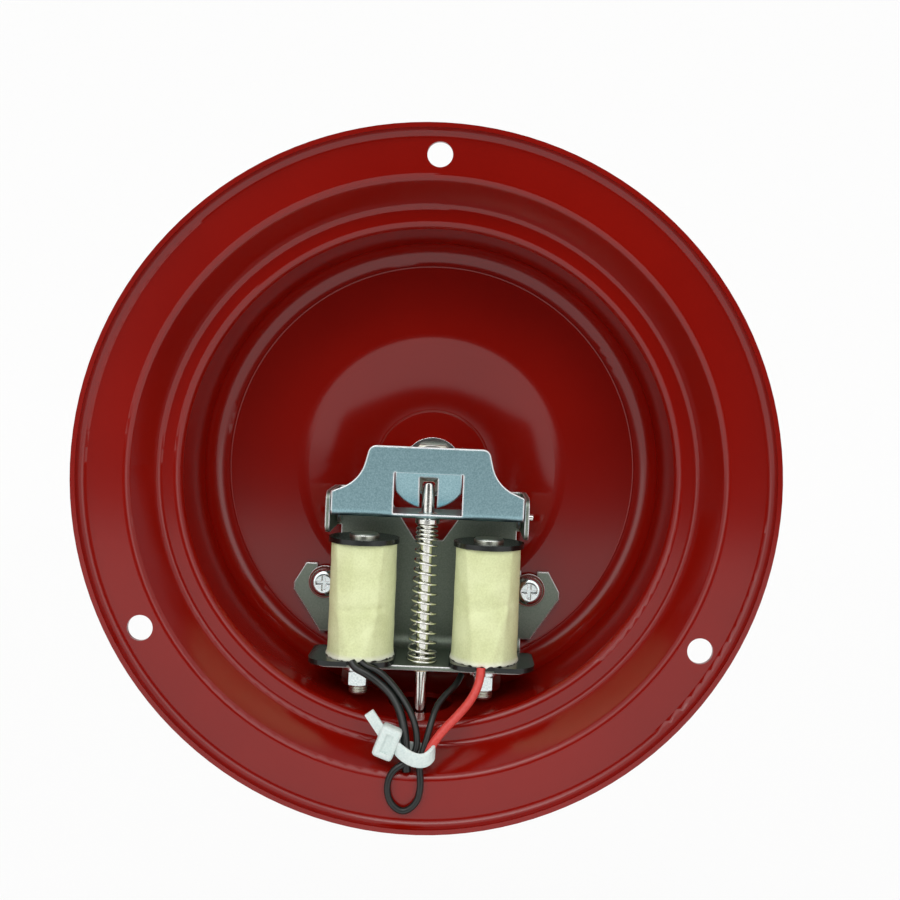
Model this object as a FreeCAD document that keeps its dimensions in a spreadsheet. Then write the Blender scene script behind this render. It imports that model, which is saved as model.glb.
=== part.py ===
"""Electric alarm bell, seen and drawn from its open rear side.

A pressed steel dish hangs on a wall by three holes in its rim. The gong is bolted to the
front of the dish. Inside the dish a frame carries two coils, a hinged armature and a
striker rod, which the armature drives down through a window in the dish wall onto the gong.

Millimetres. X is to the left of the rear view, Y points to the wall and Z is up. Depths are
counted from the rim plane, away from the wall, so a depth grows as Y falls. Sub-parts are
drawn on the rim plane and then moved by the flange's depth: the origin of the whole part is
the centre of the three holes, on the flange's rear face. Left and right are as seen from
the open rear.
"""
import FreeCAD, Part
import Sketcher
import math
import os
import re

DISH = (
    ("dish_gauge", 1.2, "sheet of the dish"),
    ("rim_radius", 89.0, "outside of the rim"),
    ("flange_depth", 2.5, "rim edge to the flange's rear face"),
    ("ridge_radius", 76.2, "inner edge of the flange, on the front"),
    ("ledge_radius", 70.9, "outer edge of the ledge, on the front"),
    ("ledge_depth", 12.0, "ledge's rear face"),
    ("well_radius", 65.5, "well at the ledge, on the front"),
    ("floor_radius", 64.5, "well at the floor, on the front"),
    ("floor_depth", 41.0, "floor's rear face"),
    ("boss_radius", 37.0, "shoulder of the boss, on the front"),
    ("boss_flat_radius", 16.2, "flat of the boss, on the front"),
    ("boss_depth", 47.0, "rear face of the boss flat"),
    ("rim_bend", 3.4, "front bend of the rim"),
    ("fold_bend", 0.9, "front bend where the sheet turns to the front"),
    ("ledge_bend", 3.0, "front bend at the ledge and the boss flat"),
    ("floor_bend", 6.7, "front bend round the floor"),
    ("shoulder_bend", 10.8, "front bend of the boss shoulder"),
    ("hole_circle", 81.5, "radius of the circle of wall holes"),
    ("wall_hole", 6.5, "wall hole diameter"),
    ("bolt_bore", 8.4, "bore for the gong bolt"),
    ("window_radius", 9.0, "strike window"),
    ("window_depth", 28.5, "centre of the strike window"),
)
GONG = (
    ("gong_gauge", 1.5, "sheet of the gong"),
    ("gong_radius", 75.0, "outside at its rim"),
    ("gong_rim_depth", 15.5, "rim of the gong"),
    ("gong_shoulder_radius", 73.0, "skirt carried on to the shoulder"),
    ("gong_shoulder_depth", 48.5, "corner of skirt and crown"),
    ("gong_seat_radius", 19.0, "flat seat in the crown"),
    ("gong_bend", 21.0, "bend of the shoulder"),
    ("crown_round", 260.0, "radius of the domed crown"),
    ("spacer_radius", 10.0, "spacer between dish and gong"),
    ("spacer_length", 3.0, "spacer's thickness"),
    ("washer_radius", 8.5, "washers on the gong bolt"),
    ("washer_gauge", 1.6, "their thickness"),
    ("bolt_shank", 8.0, "gong bolt"),
    ("bolt_flats", 13.0, "across the flats of its head and nut"),
    ("bolt_head", 5.3, "head height"),
    ("gong_nut_height", 6.5, "nut height"),
    ("bolt_overrun", 2.2, "thread past the nut"),
    ("bolt_edge", 0.8, "chamfer of the bolt's end"),
)
MECHANISM = (
    ("axis_depth", 22.5, "coils and striker rod"),
    ("coil_offset", 16.8, "coil axis from the middle"),
    ("frame_gauge", 1.2, "sheet of the frame"),
    ("frame_half", 27.2, "half of the frame's width, over the ears"),
    ("frame_top", -5.9, "top of back plate and ears"),
    ("frame_foot", -52.2, "underside of the bottom flange"),
    ("foot_depth", 17.0, "front edge of the bottom flange"),
    ("foot_bend", 4.0, "inner bend of the bottom flange"),
    ("foot_corner", 2.0, "its front corners"),
    ("ear_depth", 19.0, "front edge of the ears"),
    ("ear_foot", -17.0, "lower edge of the ears"),
    ("ear_bend", 1.0, "inner bend of the ears"),
    ("ear_corner", 2.5, "front corners of the ears"),
    ("notch_foot", -20.5, "bottom of the notch in the back plate"),
    ("notch_half", 4.0, "half width at its bottom"),
    ("notch_mouth_half", 13.8, "half width at its mouth"),
    ("wing_top", -28.3, "top of the screw wings"),
    ("wing_inner", 34.5, "end of a wing's top edge"),
    ("wing_reach", 37.8, "tip of a wing"),
    ("wing_tip_top", -34.0, "upper end of the tip"),
    ("wing_tip_foot", -36.0, "lower end of the tip"),
    ("wing_foot_reach", 30.0, "end of the lower edge"),
    ("wing_foot", -47.6, "lower edge of a wing"),
    ("screw_offset", 29.0, "frame screw from the middle"),
    ("screw_level", -33.5, "frame screw"),
    ("screw_slot", 4.6, "width of the open slots"),
    ("screw_shank", 4.0, "frame screw thread"),
    ("screw_length", 6.0, "under the head"),
    ("screw_head", 8.0, "pan head"),
    ("screw_head_height", 2.8, "pan head"),
    ("screw_head_round", 1.8, "its rounded edge"),
    ("recess_width", 1.0, "cross recess"),
    ("recess_length", 4.4, "cross recess"),
    ("recess_depth", 1.5, "cross recess"),
    ("screw_washer_radius", 4.6, "washer under the head"),
    ("screw_washer_gauge", 0.8, "washer under the head"),
    ("thread_gap", 0.02, "play of a screw in its thread"),
    ("bore_gap", 0.1, "play of a fixed pin or stud in its bore"),
    ("running_gap", 0.05, "play of a running pin or rod, on the radius"),
    ("free_gap", 0.3, "air between pieces that pass each other"),
)
COILS = (
    ("pole_top", -17.0, "top of the pole heads"),
    ("pole_radius", 4.0, "core"),
    ("pole_edge", 0.4, "chamfer of the pole head"),
    ("stud", 5.0, "threaded end of the core"),
    ("stud_foot", -60.2, "end of the stud"),
    ("stud_edge", 0.6, "its chamfer"),
    ("stud_nut_flats", 8.0, "core nut"),
    ("stud_nut_height", 4.0, "core nut"),
    ("lock_washer_radius", 4.5, "spring washer"),
    ("lock_washer_gauge", 1.2, "spring washer"),
    ("lock_slit", 0.8, "slit of the spring washer"),
    ("bobbin_top", -18.0, "top of the upper cheek"),
    ("cheek", 1.3, "thickness of the cheeks"),
    ("cheek_radius", 9.5, "upper cheek, and the lower one's inner side"),
    ("cheek_reach", 13.3, "outer side of the lower cheek"),
    ("cheek_corner", 6.0, "its front corners"),
    ("cheek_rear_corner", 2.0, "its rear corners"),
    ("tube_wall", 0.9, "tube of the bobbin"),
    ("lead_notch_half", 2.5, "notch for the leads"),
    ("lead_notch_depth", 1.6, "notch for the leads"),
    ("winding_radius", 8.2, "outside of the winding"),
    ("wrap_radius", 8.7, "outside of the tape"),
    ("wrap_flare", 9.1, "tape at its lower end"),
    ("wrap_flare_height", 3.2, "height of the flare"),
)
STRIKER = (
    ("armature_gauge", 1.2, "sheet of the armature"),
    ("armature_depth", 18.0, "face of the armature"),
    ("armature_foot", -12.2, "underside of its shelf"),
    ("armature_side_top", -5.7, "top of its straight sides"),
    ("shoulder_half", 18.2, "corner of the hollow shoulder"),
    ("shoulder_level", -2.5, "corner of the hollow shoulder"),
    ("crown_half", 15.9, "half of the top edge"),
    ("crown_top", 6.9, "top edge"),
    ("crown_corner", 2.2, "top corners"),
    ("shoulder_hollow", 10.0, "radius of the hollow shoulders"),
    ("armature_bend", 1.8, "outer bend between face and shelf"),
    ("shelf_depth", 34.5, "rear edge of the shelf"),
    ("opening_half", 9.15, "half width of the opening in the face"),
    ("opening_top", -0.1, "top of the opening"),
    ("tongue_half", 8.85, "half width of the tongue"),
    ("tongue_side", 5.4, "straight sides of the tongue"),
    ("tongue_round", 10.4, "radius of its end"),
    ("tongue_tilt", 22.0, "degrees that it leans back"),
    ("fork_slot", 4.8, "slot in the tongue"),
    ("fork_root", 1.2, "start of the slot"),
    ("pin_depth", 35.8, "hinge pin"),
    ("pin_level", -12.5, "hinge pin"),
    ("pin", 2.0, "hinge pin diameter"),
    ("pin_half", 29.2, "half of its length"),
    ("lug_radius", 3.2, "round part of the hinge lugs"),
    ("lug_front_depth", 30.0, "front end of the lugs"),
    ("lug_top", -9.2, "top of the lugs"),
    ("rod", 3.5, "striker rod"),
    ("rod_top", -2.4, "top of the rod"),
    ("rod_tip", -68.3, "striking end"),
    ("rod_round", 0.8, "rounded ends"),
    ("shelf_hole", 5.0, "hole in the shelf for the rod"),
    ("clip_radius", 3.3, "clip on the rod"),
    ("clip_gauge", 1.2, "clip on the rod"),
    ("bush_radius", 2.7, "rod bush"),
    ("bush_collar_radius", 3.3, "its collar under the flange"),
    ("bush_collar", 0.8, "its collar under the flange"),
    ("bush_rise", 0.8, "bush above the flange"),
    ("spring_wire", 0.65, "return spring"),
    ("spring_top_radius", 2.9, "outside, at the clip"),
    ("spring_foot_radius", 4.15, "outside, at the flange"),
    ("closed_pitch", 1.12, "pitch of its end turns"),
)
LEADS = (
    ("supply_lead", 1.7, "black supply lead"),
    ("link_wire", 1.4, "black lead from coil to coil"),
    ("red_wire", 2.2, "red supply lead"),
    ("tie_gauge", 1.1, "strap of the cable tie"),
    ("tie_width", 3.0, "strap of the cable tie"),
    ("tie_half_length", 4.8, "half of the bundle's room"),
    ("tie_half_depth", 1.5, "half of the bundle's room"),
    ("tie_offset", -0.4, "middle of the strap"),
    ("tie_level", -70.6, "middle of the strap"),
    ("tie_depth", 3.4, "middle of the strap"),
    ("tie_turn", 12.0, "degrees that its head stands higher"),
    ("tie_lean", 18.0, "degrees that its top leans to the front, with the leads"),
    ("tie_round_share", 0.9, "corner radius as a share of the half depth"),
    ("tie_head_length", 5.4, "head, along the strap"),
    ("tie_head_depth", 3.9, "head, across the bundle"),
    ("tie_head_width", 4.8, "head, along the bundle"),
    ("tie_head_corner", 0.9, "its rounded corners"),
    ("tie_tail_length", 5.5, "cut end of the strap"),
    ("tie_tail_turn", 42.0, "degrees that the cut end stands up"),
)
WALL_HOLES = 3
# The spring's turns: closed at the top, open, closed at the foot
TURN_COUNTS = (4, 11.5, 2)
STEPS_PER_TURN = 4
POINTS_PER_TURN = 12
# A lead's arcs take this share of the shorter of the two runs that they join
ARC_SHARE = 0.45
# An edge that passes this near a point is the edge at that point
EDGE_REACH = 1e-4

doc = FreeCAD.newDocument("electric_bell")
sheet = doc.addObject("Spreadsheet::Sheet", "Sizes")
names = set()
for row, (name, value, note) in enumerate(DISH + GONG + MECHANISM + COILS + STRIKER + LEADS, 1):
    sheet.set("A%d" % row, name)
    sheet.set("B%d" % row, str(value))
    sheet.set("C%d" % row, note)
    sheet.setAlias("B%d" % row, name)
    names.add(name)
doc.recompute()


def cells(text):
    """A formula of named sizes, with each name written as its cell."""
    def cell(word):
        return "Sizes." + word.group() if word.group() in names else word.group()
    return re.sub(r"[a-z_]+", cell, text)


def size(text):
    """The value of a formula of named sizes."""
    return float(sheet.evalExpression(cells(text)))


def bind(thing, path, text):
    thing.setExpression(path, cells(text))


def new_body(label):
    body = doc.addObject("PartDesign::Body", label)
    body.Label = label
    return body


def place(thing, x="0", depth="0", z="0"):
    """Put a sub-part at a depth behind the rim plane, with the flange at y = 0."""
    bind(thing, "Placement.Base.x", x)
    bind(thing, "Placement.Base.y", "flange_depth - (%s)" % depth)
    bind(thing, "Placement.Base.z", z)


def new_sketch(body, name, role, offset="0"):
    """A sketch on an origin plane, moved along the plane's normal.

    The normal of the XZ plane points to the front, so there an offset is a depth.
    """
    sketch = body.newObject("Sketcher::SketchObject", name)
    plane = [item for item in body.Origin.OriginFeatures if item.Role == role][0]
    sketch.AttachmentSupport = [(plane, "")]
    sketch.MapMode = "FlatFace"
    bind(sketch, "AttachmentOffset.Base.z", offset)
    return sketch


def fix(sketch, kind, item, end, text):
    """Dimension one coordinate of a point, or a radius, by a formula."""
    if kind == "Radius":
        index = sketch.addConstraint(Sketcher.Constraint(kind, item, size(text)))
    else:
        index = sketch.addConstraint(Sketcher.Constraint(kind, -1, 1, item, end, size(text)))
    bind(sketch, "Constraints[%d]" % index, text)


def arc_through(start, end, radius, side):
    """An arc from start to end, its centre to the left (1) or right (-1) of the chord."""
    chord = end - start
    normal = FreeCAD.Vector(-chord.y, chord.x, 0).normalize()
    rise = math.sqrt(max(radius ** 2 - chord.Length ** 2 / 4, 0))
    middle = (start + end) / 2 + normal * side * (rise - radius)
    return Part.Arc(start, middle, end)


def outline(sketch, corners):
    """A closed outline. A corner is (x, y), or (x, y, radius, side) at the end of an arc."""
    spots = [FreeCAD.Vector(size(corner[0]), size(corner[1]), 0) for corner in corners]
    ends = []
    first = sketch.GeometryCount
    for index, spot in enumerate(spots):
        following = (index + 1) % len(corners)
        if len(corners[following]) == 2:
            sketch.addGeometry(Part.LineSegment(spot, spots[following]), False)
            ends.append((1, 2))
        else:
            radius, side = corners[following][2:]
            sketch.addGeometry(arc_through(spot, spots[following], size(radius), side), False)
            ends.append((1, 2) if side > 0 else (2, 1))
    for index in range(len(corners)):
        following = (index + 1) % len(corners)
        item = first + index
        sketch.addConstraint(Sketcher.Constraint(
            "Coincident", item, ends[index][1], first + following, ends[following][0]))
        fix(sketch, "DistanceX", item, ends[index][0], corners[index][0])
        fix(sketch, "DistanceY", item, ends[index][0], corners[index][1])
        if len(corners[following]) == 4:
            fix(sketch, "Radius", item, None, corners[following][2])


def circle(sketch, x, y, radius):
    centre = FreeCAD.Vector(size(x), size(y), 0)
    item = sketch.addGeometry(Part.Circle(centre, FreeCAD.Vector(0, 0, 1), size(radius)), False)
    fix(sketch, "DistanceX", item, 3, x)
    fix(sketch, "DistanceY", item, 3, y)
    fix(sketch, "Radius", item, None, radius)


def rectangle(sketch, left, foot, right, top):
    outline(sketch, ((left, foot), (right, foot), (right, top), (left, top)))


def hexagon(sketch, flats):
    corner = "(%s) / sqrt(3)" % flats
    half = "(%s) / 2" % flats
    outline(sketch, ((corner, "0"), (corner + " / 2", half), ("0 - %s / 2" % corner, half),
                     ("0 - " + corner, "0"), ("0 - %s / 2" % corner, "0 - " + half),
                     (corner + " / 2", "0 - " + half)))


def revolve(body, sketch, name):
    feature = body.newObject("PartDesign::Revolution", name)
    feature.Profile = sketch
    feature.ReferenceAxis = (sketch, ["V_Axis"])
    feature.Angle = 360
    doc.recompute()
    return feature


def pad(body, sketch, name, length, backward=False, middle=False):
    feature = body.newObject("PartDesign::Pad", name)
    feature.Profile = sketch
    feature.Reversed = backward
    feature.Midplane = middle
    bind(feature, "Length", length)
    doc.recompute()
    return feature


def pocket(body, sketch, name, length=None, backward=False):
    """Cut a sketch through everything on both sides, or to one side by a length."""
    before = body.Tip.Shape.Volume
    feature = body.newObject("PartDesign::Pocket", name)
    feature.Profile = sketch
    if length is None:
        feature.Type = "ThroughAll"
        feature.Midplane = True
    else:
        feature.Reversed = backward
        bind(feature, "Length", length)
    doc.recompute()
    if not feature.Shape.isValid() or not 0 < feature.Shape.Volume < before:
        raise RuntimeError("%s cuts nothing" % name)
    return feature


def edges_at(shape, points):
    """Names of the edges that pass through the given points, written as formulas."""
    found = []
    for point in points:
        vertex = Part.Vertex(FreeCAD.Vector(*[size(text) for text in point]))
        hits = [number for number, edge in enumerate(shape.Edges, 1)
                if vertex.distToShape(edge)[0] < EDGE_REACH]
        if not hits:
            raise RuntimeError("no edge at %s" % (point,))
        found += ["Edge%d" % number for number in hits]
    return sorted(set(found))


def round_off(body, name, radius, points, kind="Fillet"):
    """Fillet or chamfer the edges of the body's last feature that pass through points."""
    base = body.Tip
    feature = body.newObject("PartDesign::" + kind, name)
    feature.Base = (base, edges_at(base.Shape, points))
    bind(feature, "Radius" if kind == "Fillet" else "Size", radius)
    doc.recompute()
    return feature


def hollow_out(body, name, point, gauge):
    """Turn a solid into a sheet that is open at the face through a point."""
    base = body.Tip
    vertex = Part.Vertex(FreeCAD.Vector(*[size(text) for text in point]))
    face = min(range(len(base.Shape.Faces)),
               key=lambda number: vertex.distToShape(base.Shape.Faces[number])[0])
    feature = body.newObject("PartDesign::Thickness", name)
    feature.Base = (base, ["Face%d" % (face + 1)])
    feature.Join = "Intersection"
    feature.Reversed = True
    bind(feature, "Value", gauge)
    doc.recompute()
    return feature


def symmetric(corners):
    """Close a right-hand list of corners with its mirror image."""
    back = [("0 - (%s)" % corner[0], corner[1]) for corner in reversed(corners)]
    return list(corners) + back


def dish():
    body = new_body("base_plate")
    profile = new_sketch(body, "dish_profile", "XY_Plane")
    front = "0 - %s - dish_gauge"
    outline(profile, (
        ("0", "0"), ("rim_radius", "0"),
        ("rim_radius", front % "flange_depth"), ("ridge_radius", front % "flange_depth"),
        ("ledge_radius", front % "ledge_depth"), ("well_radius", front % "ledge_depth"),
        ("floor_radius", front % "floor_depth"), ("boss_radius", front % "floor_depth"),
        ("boss_flat_radius", front % "boss_depth"), ("0", front % "boss_depth")))
    revolve(body, profile, "dish_form")
    bends = (
        ("rim_round", "rim_bend", (("rim_radius", "flange_depth"),)),
        ("fold_round", "fold_bend",
         (("ridge_radius", "flange_depth"), ("well_radius", "ledge_depth"))),
        ("ledge_round", "ledge_bend",
         (("ledge_radius", "ledge_depth"), ("boss_flat_radius", "boss_depth"))),
        ("floor_round", "floor_bend", (("floor_radius", "floor_depth"),)),
        ("shoulder_round", "shoulder_bend", (("boss_radius", "floor_depth"),)),
    )
    for name, bend, rings in bends:
        round_off(body, name, bend, [(radius, front % depth, "0") for radius, depth in rings])
    hollow_out(body, "dish_sheet", ("0", "0", "0"), "dish_gauge")

    bores = new_sketch(body, "floor_bores", "XZ_Plane")
    circle(bores, "0", "0", "bolt_bore / 2")
    for side in ("0 - screw_offset", "screw_offset"):
        circle(bores, side, "screw_level", "screw_shank / 2 + thread_gap")
    pocket(body, bores, "floor_bored")

    hole = new_sketch(body, "wall_hole_circle", "XZ_Plane")
    circle(hole, "0", "hole_circle", "wall_hole / 2")
    first = pocket(body, hole, "first_wall_hole")
    ring = body.newObject("PartDesign::PolarPattern", "wall_holes")
    ring.Originals = [first]
    ring.Axis = (hole, ["N_Axis"])
    ring.Angle = 360
    ring.Occurrences = WALL_HOLES
    body.Tip = ring
    doc.recompute()

    window = new_sketch(body, "window_circle", "XY_Plane", "0 - boss_radius")
    circle(window, "0", "0 - window_depth", "window_radius")
    pocket(body, window, "strike_window", "rim_radius")
    place(body)
    return body


def gong():
    body = new_body("gong")
    profile = new_sketch(body, "gong_profile", "XY_Plane")
    crown = "0 - boss_depth - dish_gauge - spacer_length - gong_gauge"
    outline(profile, (
        ("0", "0 - gong_rim_depth"), ("gong_radius", "0 - gong_rim_depth"),
        ("gong_shoulder_radius", "0 - gong_shoulder_depth"),
        ("gong_seat_radius", crown, "crown_round", -1), ("0", crown)))
    revolve(body, profile, "gong_form")
    round_off(body, "gong_shoulder", "gong_bend",
              [("gong_shoulder_radius", "0 - gong_shoulder_depth", "0")])
    hollow_out(body, "gong_sheet", ("0", "0 - gong_rim_depth", "0"), "gong_gauge")
    bore = new_sketch(body, "gong_bore_circle", "XZ_Plane")
    circle(bore, "0", "0", "bolt_bore / 2")
    pocket(body, bore, "gong_bore")
    place(body)
    return body


def ring(label, outer, bore, length, depth="0", x="0", z="0"):
    """A washer or spacer whose axis points to the wall; depth is its rear face."""
    body = new_body(label)
    disc = new_sketch(body, label + "_disc", "XZ_Plane")
    circle(disc, "0", "0", outer)
    circle(disc, "0", "0", bore)
    pad(body, disc, label + "_body", length)
    place(body, x, depth, z)
    return body


def trim_hexagon(body, label, flats, role, tops, feet=()):
    """Turn the corners of a hexagon off at the levels of its top and foot faces."""
    corner = "(%s) / sqrt(3)" % flats
    fall = "(%s - (%s) / 2) / sqrt(3)" % (corner, flats)
    cutter = new_sketch(body, label + "_turning", role)
    for levels, inward in ((tops, "-"), (feet, "+")):
        for level in levels:
            outline(cutter, (("(%s) / 2" % flats, level), (corner, level),
                             (corner, "%s %s %s" % (level, inward, fall))))
    before = body.Tip.Shape.Volume
    groove = body.newObject("PartDesign::Groove", label + "_turned")
    groove.Profile = cutter
    groove.ReferenceAxis = (cutter, ["V_Axis"])
    groove.Angle = 360
    doc.recompute()
    if not 0 < groove.Shape.Volume < before:
        raise RuntimeError("%s keeps its corners" % label)


def gong_fixings():
    boss_front = "boss_depth + dish_gauge"
    ring("gong_spacer", "spacer_radius", "bolt_bore / 2", "spacer_length", boss_front)
    crown = boss_front + " + spacer_length + gong_gauge"
    ring("gong_front_washer", "washer_radius", "bolt_bore / 2", "washer_gauge", crown)
    ring("gong_rear_washer", "washer_radius", "bolt_bore / 2", "washer_gauge",
         "boss_depth - washer_gauge")

    nut = new_body("gong_nut")
    flats = new_sketch(nut, "gong_nut_hexagon", "XZ_Plane")
    hexagon(flats, "bolt_flats")
    pad(nut, flats, "gong_nut_form", "gong_nut_height")
    trim_hexagon(nut, "gong_nut", "bolt_flats", "XY_Plane", ("0",), ("0 - gong_nut_height",))
    bore = new_sketch(nut, "gong_nut_bore", "XZ_Plane")
    circle(bore, "0", "0", "bolt_shank / 2 + thread_gap")
    pocket(nut, bore, "gong_nut_bored")
    nut_depth = "boss_depth - washer_gauge - gong_nut_height"
    place(nut, depth=nut_depth)

    bolt = new_body("gong_bolt")
    head = new_sketch(bolt, "gong_bolt_hexagon", "XZ_Plane")
    hexagon(head, "bolt_flats")
    pad(bolt, head, "gong_bolt_head", "bolt_head")
    trim_hexagon(bolt, "gong_bolt", "bolt_flats", "XY_Plane", (), ("0 - bolt_head",))
    shank = new_sketch(bolt, "gong_bolt_circle", "XZ_Plane")
    circle(shank, "0", "0", "bolt_shank / 2")
    head_depth = "(%s + washer_gauge)" % crown
    reach = "%s - (%s) + bolt_overrun" % (head_depth, nut_depth)
    pad(bolt, shank, "gong_bolt_shank", reach, backward=True)
    round_off(bolt, "gong_bolt_end", "bolt_edge", [("bolt_shank / 2", reach, "0")], "Chamfer")
    place(bolt, depth=head_depth)


def frame():
    body = new_body("coil_frame")
    plate_depth = "floor_depth - frame_gauge"
    plate_half = "frame_half - frame_gauge - ear_bend"
    plate = new_sketch(body, "plate_outline", "XZ_Plane", plate_depth)
    outline(plate, symmetric((
        ("notch_half", "notch_foot"), ("notch_mouth_half", "frame_top"),
        (plate_half, "frame_top"), (plate_half, "wing_top"), ("wing_inner", "wing_top"),
        ("wing_reach", "wing_tip_top"), ("wing_reach", "wing_tip_foot"),
        ("wing_foot_reach", "wing_foot"), ("frame_half", "wing_foot"),
        ("frame_half", "frame_foot"))[::-1]))
    pad(body, plate, "back_plate", "frame_gauge")

    foot = new_sketch(body, "foot_outline", "XY_Plane", "frame_foot")
    rectangle(foot, "0 - frame_half", "0 - floor_depth", "frame_half", "0 - foot_depth")
    pad(body, foot, "foot_flange", "frame_gauge")
    round_off(body, "foot_inner_bend", "foot_bend",
              [("0", "0 - (%s)" % plate_depth, "frame_foot + frame_gauge")])
    round_off(body, "foot_outer_bend", "foot_bend + frame_gauge",
              [("0", "0 - floor_depth", "frame_foot")])
    round_off(body, "foot_corners", "foot_corner",
              [(side, "0 - foot_depth", "frame_foot + frame_gauge / 2")
               for side in ("frame_half", "0 - frame_half")])

    outer_bend = "(ear_bend + frame_gauge)"
    for side, sign, turn in (("left", "", 1), ("right", "0 - ", -1)):
        ear = new_sketch(body, side + "_ear_section", "XY_Plane", "ear_foot")
        outline(ear, (
            ("%s(%s)" % (sign, plate_half), "0 - floor_depth"),
            (sign + "frame_half", "0 - floor_depth + " + outer_bend, outer_bend, turn),
            (sign + "frame_half", "0 - ear_depth"),
            (sign + "(frame_half - frame_gauge)", "0 - ear_depth"),
            (sign + "(frame_half - frame_gauge)", "0 - (%s) + ear_bend" % plate_depth),
            ("%s(%s)" % (sign, plate_half), "0 - (%s)" % plate_depth, "ear_bend", -turn)))
        pad(body, ear, side + "_ear", "frame_top - ear_foot")
    middle = "(frame_half - frame_gauge / 2)"
    round_off(body, "ear_corners", "ear_corner",
              [(sign + middle, "0 - ear_depth", level)
               for sign in ("", "0 - ") for level in ("frame_top", "ear_foot")])

    pin_bores = new_sketch(body, "pin_bores", "YZ_Plane")
    circle(pin_bores, "0 - pin_depth", "pin_level", "pin / 2 + thread_gap")
    pocket(body, pin_bores, "pin_bored")
    foot_bores = new_sketch(body, "foot_bores", "XY_Plane", "frame_foot")
    circle(foot_bores, "0", "0 - axis_depth", "bush_radius + thread_gap")
    for side in ("coil_offset", "0 - coil_offset"):
        circle(foot_bores, side, "0 - axis_depth", "stud / 2 + bore_gap")
    pocket(body, foot_bores, "foot_bored")
    for side, sign in (("left", "0 - "), ("right", "")):
        slot = new_sketch(body, side + "_slot", "XZ_Plane")
        rectangle(slot, sign + "screw_offset - screw_slot / 2", "screw_level",
                  sign + "screw_offset + screw_slot / 2", "ear_foot")
        pocket(body, slot, side + "_slot_cut")
        end = new_sketch(body, side + "_slot_end", "XZ_Plane")
        circle(end, sign + "screw_offset", "screw_level", "screw_slot / 2")
        pocket(body, end, side + "_slot_rounded")
    place(body)
    return body


def frame_screw(label):
    """A pan-head screw with a cross recess; its seat is at depth zero."""
    body = new_body(label)
    profile = new_sketch(body, label + "_profile", "XY_Plane")
    outline(profile, (
        ("0", "0 - screw_length"), ("screw_shank / 2", "0 - screw_length"),
        ("screw_shank / 2", "0"), ("screw_head / 2", "0"),
        ("screw_head / 2", "screw_head_height"), ("0", "screw_head_height")))
    revolve(body, profile, label + "_form")
    round_off(body, label + "_dome", "screw_head_round",
              [("screw_head / 2", "screw_head_height", "0")])
    for name, width, height in (("upright", "recess_width", "recess_length"),
                                ("level", "recess_length", "recess_width")):
        recess = new_sketch(body, "%s_%s" % (label, name), "XZ_Plane", "0 - screw_head_height")
        rectangle(recess, "0 - %s / 2" % width, "0 - %s / 2" % height,
                  "%s / 2" % width, "%s / 2" % height)
        pocket(body, recess, "%s_%s_cut" % (label, name), "recess_depth", backward=True)
    return body


def group(label, members):
    """One node of separate solids."""
    compound = doc.addObject("Part::Compound", label)
    compound.Label = label
    compound.Links = list(members)
    doc.recompute()
    return compound


def frame_fixings():
    seat = "floor_depth - frame_gauge - screw_washer_gauge"
    screws = []
    washers = []
    for side, sign in (("left", ""), ("right", "0 - ")):
        screw = frame_screw(side + "_frame_screw")
        place(screw, sign + "screw_offset", seat, "screw_level")
        screws.append(screw)
        washers.append(ring(side + "_frame_washer", "screw_washer_radius",
                            "screw_shank / 2 + bore_gap", "screw_washer_gauge", seat,
                            sign + "screw_offset", "screw_level"))
    group("frame_screws", screws)
    group("frame_washers", washers)


def turned(label, corners, x="0", depth="axis_depth"):
    """A turned piece with an upright axis."""
    body = new_body(label)
    profile = new_sketch(body, label + "_profile", "XZ_Plane")
    outline(profile, corners)
    revolve(body, profile, label + "_form")
    place(body, x, depth)
    return body


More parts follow.
